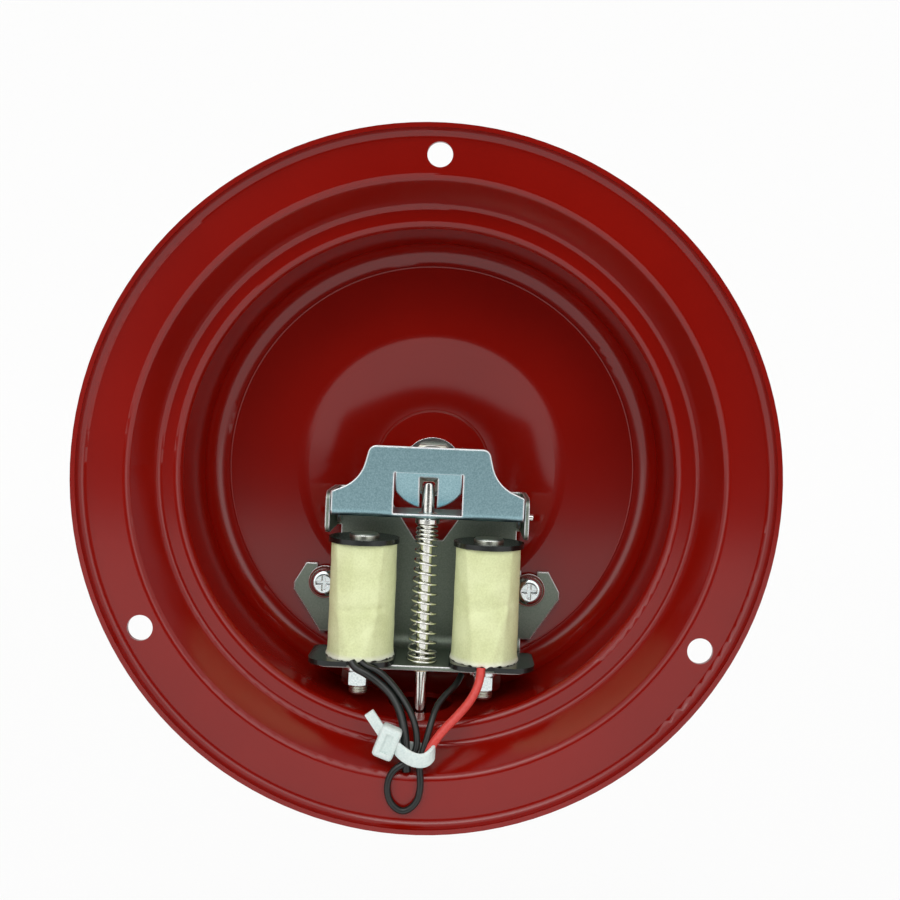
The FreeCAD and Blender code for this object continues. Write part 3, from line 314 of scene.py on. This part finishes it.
# %% World
# Brightness of the world by the cosine of the angle from the wall's normal. As a ramp's position
# that cosine is carried from -1 .. 1 to 0 .. 1.
RING = ((0.0, "#A2A2A2"), (0.5, "#A0A0A0"), (0.64, "#A8A8A8"), (0.8, "#BEBEBE"),
        (0.85, "#FFFFFF"), (0.925, "#FFFFFF"), (0.955, "#8A8C8D"), (0.978, "#4C4E4F"),
        (0.99, "#242526"))
STRENGTH_LOW = 1.2
STRENGTH_HIGH = 1.9
world = bpy.data.worlds.new("studio")
bpy.context.scene.world = world
world.use_nodes = True
tree = world.node_tree
sky = tree.nodes["Background"]
direction = add(tree, "ShaderNodeTexCoord").outputs["Generated"]
turned = add(tree, "ShaderNodeSeparateXYZ", {"Vector": direction})
cosine = add(tree, "ShaderNodeMapRange",
             {"Value": turned.outputs["Y"], "From Min": -1, "From Max": 1})
ring = add(tree, "ShaderNodeValToRGB", {"Fac": cosine}, RING)
tree.links.new(ring.outputs[0], sky.inputs["Color"])
height = add(tree, "ShaderNodeMapRange", {
    "Value": turned.outputs["Z"], "From Min": -0.8, "From Max": 0.6,
    "To Min": STRENGTH_LOW, "To Max": STRENGTH_HIGH})
tree.links.new(height.outputs[0], sky.inputs["Strength"])
# The camera itself sees the same white there as on the backdrop
white = add(tree, "ShaderNodeBackground", {"Color": (1, 1, 1, 1), "Strength": 1.0})
watched = add(tree, "ShaderNodeLightPath").outputs["Is Camera Ray"]
shown = add(tree, "ShaderNodeMixShader", {0: watched, 1: sky, 2: white})
tree.links.new(shown.outputs[0], tree.nodes["World Output"].inputs["Surface"])
print("world", world.name, "with", len(RING), "stops in its ring")

# %% Soft box
SOFT_BOX_PLACE = (150, -547.5, 600)
SOFT_BOX_SIZE = (500, 300)
SOFT_BOX_WATTS = 1.0
data = bpy.data.lights.new("soft_box_above", "AREA")
data.shape = "RECTANGLE"
data.size, data.size_y = (length * MM for length in SOFT_BOX_SIZE)
data.energy = SOFT_BOX_WATTS
soft_box = bpy.data.objects.new("soft_box_above", data)
bpy.context.scene.collection.objects.link(soft_box)
soft_box.location = place(*SOFT_BOX_PLACE)
soft_box.rotation_euler = (-soft_box.location).to_track_quat("-Z", "Y").to_euler()
print(soft_box.name, SOFT_BOX_WATTS, "W")

# %% [markdown]
# ## Enamel on pressed steel
#
# The dish and the gong are pressed from mild steel and painted with a stoved red gloss enamel.
# Such paint is smooth but not flat: it has a faint orange peel about 2 mm across, and the press
# leaves a fine step round the floor and fine lines along its folds, which show as thin pale
# rings. The rings are drawn as height by the distance from the dish's axis.

# %% Red enamel
ENAMEL_CLOUD = 50
ENAMEL_PEEL = 1.8
PEEL_SHARE = 0.05
# Radius and half width of each pressed line, a little broader than the real one to show
PRESS_RINGS = ((57.6, 0.35), (16.4, 0.4))
RING_SHARE = 1.3


def red_enamel():
    """Gloss enamel: a deep red that mirrors the light, with faint peel and pressed lines."""
    material, tree, shader, where = new_finish("stoved_red_enamel")
    cloud = add(tree, "ShaderNodeTexNoise", patches(where, ENAMEL_CLOUD, 3))
    red = add(tree, "ShaderNodeValToRGB", {"Fac": cloud}, ((0.3, "#800A02"), (0.7, "#8A0E04")))
    tree.links.new(red.outputs[0], shader.inputs["Base Color"])
    flat = add(tree, "ShaderNodeVectorMath", {0: where, 1: (1, 0, 1)}, operation="MULTIPLY")
    reach = add(tree, "ShaderNodeVectorMath", {0: flat}, operation="LENGTH")
    peel = add(tree, "ShaderNodeTexNoise", patches(where, ENAMEL_PEEL, 1))
    height = add(tree, "ShaderNodeMath", {0: peel, 1: PEEL_SHARE}, operation="MULTIPLY")
    for radius, width in PRESS_RINGS:
        away = add(tree, "ShaderNodeMath", {0: reach.outputs["Value"], 1: radius * MM},
                   operation="SUBTRACT")
        away = add(tree, "ShaderNodeMath", {0: away}, operation="ABSOLUTE")
        ridge = add(tree, "ShaderNodeMapRange", {
            "Value": away, "From Min": 0, "From Max": width * MM,
            "To Min": RING_SHARE, "To Max": 0}, interpolation_type="SMOOTHSTEP")
        height = add(tree, "ShaderNodeMath", {0: height, 1: ridge}, operation="ADD")
    bump = add(tree, "ShaderNodeBump",
               {"Height": height, "Strength": 0.6, "Distance": 0.12 * MM})
    tree.links.new(bump.outputs[0], shader.inputs["Normal"])
    shader.inputs["Roughness"].default_value = 0.14
    shader.inputs["IOR"].default_value = 1.5
    return material


wear(("base_plate", "gong"), red_enamel())

# %% [markdown]
# ## Metals
#
# The armature and the frame are stamped from zinc-plated sheet. Plating follows the grain of
# the rolled sheet, so it is a blue grey with a fine speckle. A Bevel node rounds the normals
# along each edge by a fraction of a millimetre, so that an edge turns to the ring of light. Where
# the rounded normal leaves the face, the base colour is painted white: a painted highlight that
# draws each edge of every metal as a thin bright line.
# Turned and drawn pieces, such as the rod, the spring, the screws and the nuts, are bright.

# %% How a metal is made


def metal(name, colour, pale, roughness, grain, depth, edge=0.3):
    """A plated metal with a fine speckle in colour, gloss and height, and soft edges painted white
    as a highlight.
    """
    material, tree, shader, where = new_finish(name)
    speck = add(tree, "ShaderNodeTexNoise", patches(where, grain))
    gloss = add(tree, "ShaderNodeMapRange", {
        "Value": speck, "To Min": roughness * 0.8, "To Max": roughness * 1.2})
    tree.links.new(gloss.outputs[0], shader.inputs["Roughness"])
    soft = add(tree, "ShaderNodeBevel", {"Radius": edge * MM}, samples=8)
    face = add(tree, "ShaderNodeNewGeometry")
    along = add(tree, "ShaderNodeVectorMath",
                {0: soft, 1: face.outputs["Normal"]}, operation="DOT_PRODUCT")
    # Painted highlight: where the bevel normal leaves the face, the base colour is painted white
    painted_edge_highlight = add(tree, "ShaderNodeMapRange", {
        "Value": along.outputs["Value"], "From Min": 0.995, "From Max": 0.95,
        "To Min": 0, "To Max": 1})
    sheet = add(tree, "ShaderNodeValToRGB", {"Fac": speck}, ((0.3, colour), (0.7, pale)))
    bright = add(tree, "ShaderNodeMix",
                 {"Factor": painted_edge_highlight, 6: sheet, 7: linear("#FFFFFF")}, data_type="RGBA")
    tree.links.new(bright.outputs[2], shader.inputs["Base Color"])
    bump = add(tree, "ShaderNodeBump", {
        "Height": speck, "Strength": 0.2, "Distance": depth * MM, "Normal": soft})
    tree.links.new(bump.outputs[0], shader.inputs["Normal"])
    shader.inputs["Metallic"].default_value = 1
    return material


# %% Metal finishes
# Zinc has crystals far below 0.1 mm, and rolled steel has such a grain too. Both are drawn 0.4 to
# 0.6 mm wide, which is as coarse as it takes to show.

# Bright zinc on rolled sheet: blue grey and satin, with a painted highlight of white along its
# edges
zinc_sheet = metal("zinc_plated_sheet", "#8AAEB6", "#A8CAD1", 0.4, 0.4, 0.01, 0.8)
# Zinc with an olive passivation: darker, greener and duller
dark_sheet = metal("passivated_sheet", "#7C887C", "#929C90", 0.5, 0.45, 0.02, 0.6)
# Drawn wire and rod: bright, with sharp mirror lines
bright_wire = metal("bright_drawn_steel", "#DEDED6", "#F2F2EC", 0.12, 0.6, 0.002, 0.2)
# Cold-headed screws and pressed washers with bright zinc: almost white, a little blue
bright_screw = metal("bright_zinc_plating", "#D6E2E2", "#F0F6F4", 0.18, 0.5, 0.004, 0.25)
# Washers browned by heat: a dull red brown
brown_washer = metal("brown_oxide_washers", "#6A3630", "#7E463E", 0.35, 0.5, 0.01, 0.25)
# Turned brass: pale yellow with a soft shine
brass = metal("turned_brass", "#C8B890", "#E0D4AC", 0.22, 0.5, 0.003, 0.2)
# Faced ends of cores and bolts: a warm grey, satin from the tool
pale_head = metal("machined_steel_faces", "#C6CAB8", "#DEE2D2", 0.34, 0.5, 0.004, 0.3)
# Copper wire under clear enamel: a warm orange brown, mostly hidden by the tape
copper = metal("enamelled_copper_wire", "#A0522D", "#B5653A", 0.3, 0.3, 0.02)
wear(("armature",), zinc_sheet)
wear(("coil_frame",), dark_sheet)
wear(("striker_rod", "striker_clip", "return_spring", "armature_pin"), bright_wire)
wear(("left_core", "right_core", "gong_nut", "gong_bolt"), pale_head)
wear(("frame_screws", "core_nuts", "core_lock_washers", "gong_spacer", "gong_front_washer",
      "gong_rear_washer"), bright_screw)
wear(("frame_washers",), brown_washer)
wear(("rod_bush",), brass)
wear(("left_winding", "right_winding"), copper)

# %% [markdown]
# ## Plastics
#
# The bobbins are moulded from black nylon, a glossy plastic with a trace of green-grey in the
# light. The sleeving of the leads is soft PVC, satin, with the faint unevenness of an extruded
# skin. The cable tie is clear natural nylon: milky, with light that scatters inside it.

# %% Plastic finishes


def plastic(name, colour, pale, roughness, grain=0.8, depth=0.02):
    """A moulded or extruded plastic with a faintly uneven skin."""
    material, tree, shader, where = new_finish(name)
    speck = add(tree, "ShaderNodeTexNoise", patches(where, grain))
    skin = add(tree, "ShaderNodeValToRGB", {"Fac": speck}, ((0.3, colour), (0.7, pale)))
    tree.links.new(skin.outputs[0], shader.inputs["Base Color"])
    bump = add(tree, "ShaderNodeBump", {"Height": speck, "Strength": 0.3, "Distance": depth * MM})
    tree.links.new(bump.outputs[0], shader.inputs["Normal"])
    shader.inputs["Roughness"].default_value = roughness
    return material


def dress(pieces, material):
    """Give new pieces a finish."""
    for piece in pieces:
        piece.data.materials.clear()
        piece.data.materials.append(material)
    print(material.name, "on", ", ".join(piece.name for piece in pieces))


# Moulded nylon: almost black with a clear shine
wear(("left_bobbin", "right_bobbin"), plastic("black_moulded_nylon", "#0B0F0E", "#141A18", 0.22))
# Extruded PVC: softer to the eye, a little paler where the light grazes it
dress((black_lead, link_lead), plastic("black_pvc_sleeving", "#0D110F", "#171C19", 0.3))
dress((red_lead,), plastic("red_pvc_sleeving", "#CF3B34", "#DC4A42", 0.4))

# %% [markdown]
# ## The tape round the coils
#
# Each coil is wound over with a pale yellow paper tape. Paper doesn't lie round like a turned
# part: it goes flat between folds, the folds run closer together towards the foot, where the
# tape is gathered, and small creases cross it. The foot is torn and stands a little proud. The
# piece starts as an open cylinder whose upright edges are cut into short ones. Then each vertex
# is moved by its angle and height, and a solidify modifier gives the paper its thickness.

# %% Sizes and folds of the tape
WRAP_TOP = -19.3
WRAP_FOOT = -49.9
WRAP_RADIUS = 9.1
WRAP_LEAST = 8.45
WRAP_THICKNESS = 0.2
WRAP_COLUMNS = 144
WRAP_ROWS = 68
PANEL_DEPTH = 0.28
CREASE_LIFT = 2.3
# Height and width of the fine wrinkles, then how far and how high the foot stands proud
WRINKLES = ((0.10, 4.5), (0.04, 1.5))
FOOT_PROUD = 0.4
FOOT_FLARE = 2.6
# Height of the torn edge, its teeth (height and how many to the millimetre) and its mean lift
TORN_HEIGHT = 1.2
TORN_TEETH = ((0.5, 0.9), (0.3, 2.6))
TORN_LIFT = 0.25
# Fold angles at the top and at the foot, in degrees from the wall's normal towards +X
FOLDS = {"left": ((-40, -24), (47, 30), (112, 104), (-105, -98), (178, 184)),
         "right": ((-44, -30), (42, 20), (108, 100), (-112, -104), (176, 182))}
# Creases as angle and height of both ends, width in millimetres, and depth (below 0 is inward)
CREASES = {
    "left": ((-42, -36.2, 36, -36.9, 0.9, -0.16), (-38, -27.5, 30, -30.5, 1.6, -0.10),
             (-30, -37.6, -8, -48.5, 1.3, 0.14), (34, -37.5, 12, -48.5, 1.5, 0.13),
             (8, -21.0, 34, -25.5, 1.4, 0.10), (-20, -40.5, 10, -44.5, 1.0, -0.09)),
    "right": ((-44, -33.5, 40, -36.2, 1.0, -0.13), (-40, -24.0, 10, -28.0, 1.5, -0.11),
              (-36, -35.0, -12, -48.0, 1.2, 0.15), (30, -36.0, 6, -48.5, 1.5, 0.12),
              (12, -22.5, 36, -30.0, 1.3, 0.10), (-16, -29.5, 24, -33.0, 1.0, 0.08)),
}
print("tape from", WRAP_TOP, "to", WRAP_FOOT, "mm, with", len(FOLDS["left"]), "folds")

# %% How far out the tape lies


def away_from(angle, z, crease):
    """Distance in millimetres from a crease, over the unrolled tape."""
    turn = math.radians(1) * WRAP_RADIUS
    start = Vector((crease[0] * turn, crease[1]))
    run = Vector((crease[2] * turn, crease[3])) - start
    spot = Vector((angle * turn, z)) - start
    share = min(max(spot.dot(run) / run.length_squared, 0), 1)
    return (spot - run * share).length


def tape_radius(side, angle, z, offset):
    """Radius of the tape at an angle and height: flat panels, creases and fine wrinkles."""
    share = (WRAP_TOP - z) / (WRAP_TOP - WRAP_FOOT)
    folds = sorted((top + (foot - top) * share) for top, foot in FOLDS[side])
    if angle < folds[0]:
        angle += 360
    folds.append(folds[0] + 360)
    for start, end in zip(folds, folds[1:]):
        if start <= angle <= end:
            half = math.radians(min((end - start) / 2, 60))
            middle = math.radians(angle - (start + end) / 2)
            panel = 1 - math.cos(half) / math.cos(max(min(middle, half), -half))
            break
    radius = WRAP_RADIUS * (1 - PANEL_DEPTH * panel)
    for crease in CREASES[side]:
        reach = away_from(angle, z, crease) / crease[4]
        radius += CREASE_LIFT * crease[5] * math.exp(-reach ** 2)
    spot = Vector((math.sin(math.radians(angle)) * 9, math.cos(math.radians(angle)) * 9, z))
    shifts = (Vector((offset, 0, 0)), Vector((0, offset, 0)))
    for (rise, width), shift in zip(WRINKLES, shifts):
        radius += rise * noise.noise(spot / width + shift)
    flare = max(0, 1 - (z - WRAP_FOOT) / FOOT_FLARE)
    return max(radius, WRAP_LEAST) + FOOT_PROUD * flare ** 2


# %% Paper tape


def tape_wrap(side, sign, offset):
    """The paper tape of one coil."""
    bpy.ops.object.select_all(action="DESELECT")
    bpy.ops.mesh.primitive_cylinder_add(
        vertices=WRAP_COLUMNS, radius=WRAP_RADIUS * MM, depth=(WRAP_TOP - WRAP_FOOT) * MM,
        end_fill_type="NOTHING")
    piece = bpy.context.object
    piece.name = side + "_paper_tape"
    cut_uprights(piece, WRAP_ROWS - 1)
    middle = (WRAP_TOP + WRAP_FOOT) / 2
    for vertex in piece.data.vertices:
        x, y, z = vertex.co / MM
        z += middle
        angle = math.degrees(math.atan2(x, y))
        radius = tape_radius(side, angle, z, offset)
        torn = max(0, 1 - (z - WRAP_FOOT) / TORN_HEIGHT)
        lift = TORN_LIFT
        for rise, teeth in TORN_TEETH:
            lift += rise * noise.noise(Vector((x, y, offset)) * teeth)
        scale = radius / WRAP_RADIUS
        vertex.co = Vector((x * scale, y * scale, z + torn * lift)) * MM
    bpy.ops.object.shade_smooth()
    thickness = piece.modifiers.new("paper", "SOLIDIFY")
    thickness.thickness = WRAP_THICKNESS * MM
    thickness.offset = -1
    bpy.ops.object.modifier_apply(modifier="paper")
    piece.location = place(sign * COIL_OFFSET, AXIS_DEPTH, 0)
    bpy.ops.object.transform_apply(location=True, rotation=False, scale=False)
    print(piece.name, len(piece.data.polygons), "faces")
    return piece


left_tape = tape_wrap("left", 1, 3.7)
right_tape = tape_wrap("right", -1, 11.2)
settle(left_tape, "left_wrap")
settle(right_tape, "right_wrap")

# %% Tape finish
# Creped paper with a dry gum: matt, pale yellow, mottled where the gum lies thicker. Its torn edge
# is white with fibres. Paper fibres are about 0.03 mm thick and are drawn as 0.5 mm patches.
TORN_WHITE = 1.8
material, tree, shader, where = new_finish("crepe_paper_tape")
fibre = add(tree, "ShaderNodeTexNoise", patches(where, 0.5, 3))
gum = add(tree, "ShaderNodeTexNoise", patches(where, 6, 2))
mottle = add(tree, "ShaderNodeMath", {0: fibre, 1: gum}, operation="ADD")
mottle = add(tree, "ShaderNodeMath", {0: mottle, 1: 0.5}, operation="MULTIPLY")
body = add(tree, "ShaderNodeValToRGB", {"Fac": mottle}, ((0.36, "#DBE2AA"), (0.62, "#ECF3C0")))
foot = add(tree, "ShaderNodeSeparateXYZ", {"Vector": where})
torn = add(tree, "ShaderNodeMapRange", {
    "Value": foot.outputs["Z"], "From Min": (WRAP_FOOT + TORN_WHITE) * MM,
    "From Max": WRAP_FOOT * MM, "To Min": 0, "To Max": 1})
pale = add(tree, "ShaderNodeMix",
           {"Factor": torn, 6: body, 7: linear("#F8F9EC")}, data_type="RGBA")
tree.links.new(pale.outputs[2], shader.inputs["Base Color"])
bump = add(tree, "ShaderNodeBump", {"Height": fibre, "Strength": 0.35, "Distance": 0.06 * MM})
tree.links.new(bump.outputs[0], shader.inputs["Normal"])
shader.inputs["Roughness"].default_value = 0.75
dress((left_tape, right_tape), material)

# %% [markdown]
# ## The cable tie
#
# A small nylon cable tie gathers the leads. Its strap is a flat band that sags round the front of
# the bundle. A closed curve with a flat, rounded section gives the band. The head is a block with
# broad chamfers and a slot where the strap's end passes through, and the end is cut off just
# above it. The three are joined into one piece.

# %% Sizes of the tie
# Control points as x, z and depth
STRAP_LOOP = (
    (5.4, -67.9, 3.0), (2.6, -69.7, 1.3), (-0.2, -70.9, 1.1), (-3.0, -70.8, 1.1),
    (-4.7, -68.9, 2.6), (-4.5, -69.0, 5.0), (-1.9, -69.9, 6.5), (1.9, -69.6, 6.6),
    (5.2, -68.0, 5.4))
# The curve is widened by this much to each side of its line, and the gauge's round adds the rest
STRAP_HALF_EXTRUDE = 1.3
STRAP_HALF_GAUGE = 0.5
HEAD_CENTRE = (7.2, -67.1, 3.5)
HEAD_SIZE = (5.4, 4.2, 8.2)
HEAD_TURN = math.radians(20)
TAIL_SIZE = (2.6, 1.1, 7.6)
TAIL_CENTRE = (9.9, -62.8, 3.2)
TAIL_TURN = math.radians(-36)
HEAD_CHAMFER = 1.15
TAIL_CHAMFER = 0.22
SLOT_RIM = 0.55
SLOT_DEPTH = 0.5
print("tie head", HEAD_SIZE, "mm, strap of", len(STRAP_LOOP), "points")

# %% Head and tail of the tie


def block(name, size, centre, turn, bevel, cuts):
    """A block with rounded edges, turned about the wall's normal. Size is x, depth, z."""
    bpy.ops.object.select_all(action="DESELECT")
    bpy.ops.mesh.primitive_cube_add(size=1)
    piece = bpy.context.object
    piece.name = name
    bpy.ops.object.mode_set(mode="EDIT")
    bpy.ops.transform.resize(value=[length * MM for length in size])
    bpy.ops.mesh.bevel(offset=bevel * MM, segments=cuts, profile=0.6, affect="EDGES")
    bpy.ops.transform.rotate(value=turn, orient_axis="Y", center_override=(0, 0, 0))
    bpy.ops.transform.translate(value=place(centre[0], centre[2], centre[1]))
    bpy.ops.object.mode_set(mode="OBJECT")
    return piece


head = block("tie_head", HEAD_SIZE, HEAD_CENTRE, HEAD_TURN, HEAD_CHAMFER, 3)
bpy.ops.object.mode_set(mode="EDIT")
bpy.ops.mesh.select_mode(type="FACE")
bpy.ops.mesh.select_all(action="DESELECT")
bpy.ops.object.mode_set(mode="OBJECT")
largest = max((face for face in head.data.polygons if face.normal.y > 0.9),
              key=lambda face: face.area)
largest.select = True
bpy.ops.object.mode_set(mode="EDIT")
bpy.ops.mesh.inset(thickness=SLOT_RIM * MM)
bpy.ops.mesh.extrude_region_move(TRANSFORM_OT_translate={"value": (0, -SLOT_DEPTH * MM, 0)})
bpy.ops.object.mode_set(mode="OBJECT")

tail = block("tie_tail", TAIL_SIZE, TAIL_CENTRE, TAIL_TURN, TAIL_CHAMFER, 2)
print(head.name, "and", tail.name, "have", len(head.data.polygons), "and",
      len(tail.data.polygons), "faces")

# %% Strap of the tie
line = bpy.data.curves.new("tie_strap", "CURVE")
line.dimensions = "3D"
line.twist_mode = "Z_UP"
line.extrude = STRAP_HALF_EXTRUDE * MM
line.bevel_depth = STRAP_HALF_GAUGE * MM
line.bevel_resolution = 3
line.resolution_u = 10
spline = line.splines.new("NURBS")
spline.points.add(len(STRAP_LOOP) - 1)
for point, (x, z, depth) in zip(spline.points, STRAP_LOOP):
    point.co = (*place(x, depth, z), 1)
spline.order_u = 4
spline.use_cyclic_u = True
strap = bpy.data.objects.new("tie_strap", line)
bpy.context.scene.collection.objects.link(strap)
bpy.ops.object.select_all(action="DESELECT")
bpy.context.view_layer.objects.active = strap
strap.select_set(True)
bpy.ops.object.convert(target="MESH")
head.select_set(True)
tail.select_set(True)
bpy.ops.object.join()
tie = bpy.context.object
tie.name = "nylon_cable_tie"
bpy.ops.object.shade_smooth_by_angle(angle=math.radians(40))
settle(tie, "cable_tie")
print(tie.name, len(tie.data.polygons), "faces")

# %% Nylon of the tie
# Natural nylon, injection moulded: milky and a little blue, with light that scatters inside it
tie_nylon = plastic("natural_nylon", "#D6E4E1", "#E8F2EE", 0.4, 0.5, 0.05)
shader = tie_nylon.node_tree.nodes["Principled BSDF"]
shader.inputs["Subsurface Weight"].default_value = 0.4
shader.inputs["Subsurface Radius"].default_value = (0.9, 1.0, 1.0)
shader.inputs["Subsurface Scale"].default_value = 0.8 * MM
dress((tie,), tie_nylon)

# %% [markdown]
# ## Threads on the core studs
#
# The end of each core is an M5 stud, and the turns of its thread show below the nut. A thread of
# so few turns reads well as a stack of ridges. One stack is made from a short cylinder, whose
# rows of vertices are drawn in and out in turn, and copied for the second stud.

# %% A cylinder round the first stud
THREAD_PITCH = 0.8
THREAD_TOP = -57.6
THREAD_FOOT = -59.7
THREAD_RADIUS = 2.62
THREAD_ROOT = 2.3
THREAD_SIDES = 40
turns = round((THREAD_TOP - THREAD_FOOT) / THREAD_PITCH * 2)
bpy.ops.object.select_all(action="DESELECT")
bpy.ops.mesh.primitive_cylinder_add(
    vertices=THREAD_SIDES, radius=THREAD_RADIUS * MM, depth=(THREAD_TOP - THREAD_FOOT) * MM,
    end_fill_type="NGON",
    location=place(COIL_OFFSET, AXIS_DEPTH, (THREAD_TOP + THREAD_FOOT) / 2))
left_thread = bpy.context.object
left_thread.name = "left_stud_thread"
bpy.ops.object.transform_apply(location=True, rotation=False, scale=False)
cut_uprights(left_thread, turns)
print(left_thread.name, turns, "cuts")

# %% Ridges, and the second thread
axis = place(COIL_OFFSET, AXIS_DEPTH, 0)
rows = sorted({round(vertex.co.z / MM, 3) for vertex in left_thread.data.vertices})
for vertex in left_thread.data.vertices:
    row = rows.index(round(vertex.co.z / MM, 3))
    if row % 2 == 0:
        share = THREAD_ROOT / THREAD_RADIUS
        vertex.co.x = axis.x + (vertex.co.x - axis.x) * share
        vertex.co.y = axis.y + (vertex.co.y - axis.y) * share
bpy.ops.object.shade_smooth_by_angle(angle=math.radians(25))
right_thread = left_thread.copy()
right_thread.data = left_thread.data.copy()
right_thread.name = "right_stud_thread"
bpy.context.scene.collection.objects.link(right_thread)
for vertex in right_thread.data.vertices:
    vertex.co.x -= 2 * COIL_OFFSET * MM
for piece in (left_thread, right_thread):
    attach(piece, "bell")
# Rolled thread with a yellow passivation over its zinc: pale gold
dress((left_thread, right_thread),
      metal("yellow_zinc_thread", "#C9C09A", "#E6DEBC", 0.25, 0.4, 0.004, 0.1))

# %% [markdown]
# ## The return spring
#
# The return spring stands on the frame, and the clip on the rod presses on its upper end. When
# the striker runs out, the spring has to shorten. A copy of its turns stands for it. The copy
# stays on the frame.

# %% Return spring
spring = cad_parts["return_spring"].copy()
spring.data = spring.data.copy()
spring.name = "return_spring_turns"
bpy.context.scene.collection.objects.link(spring)
bpy.ops.object.select_all(action="DESELECT")
bpy.context.view_layer.objects.active = spring
spring.select_set(True)
bpy.ops.object.mode_set(mode="EDIT")
bpy.ops.mesh.select_all(action="SELECT")
bpy.ops.mesh.remove_doubles(threshold=0.001 * MM)
bpy.ops.object.mode_set(mode="OBJECT")
settle(spring, "return_spring")
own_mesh(spring)
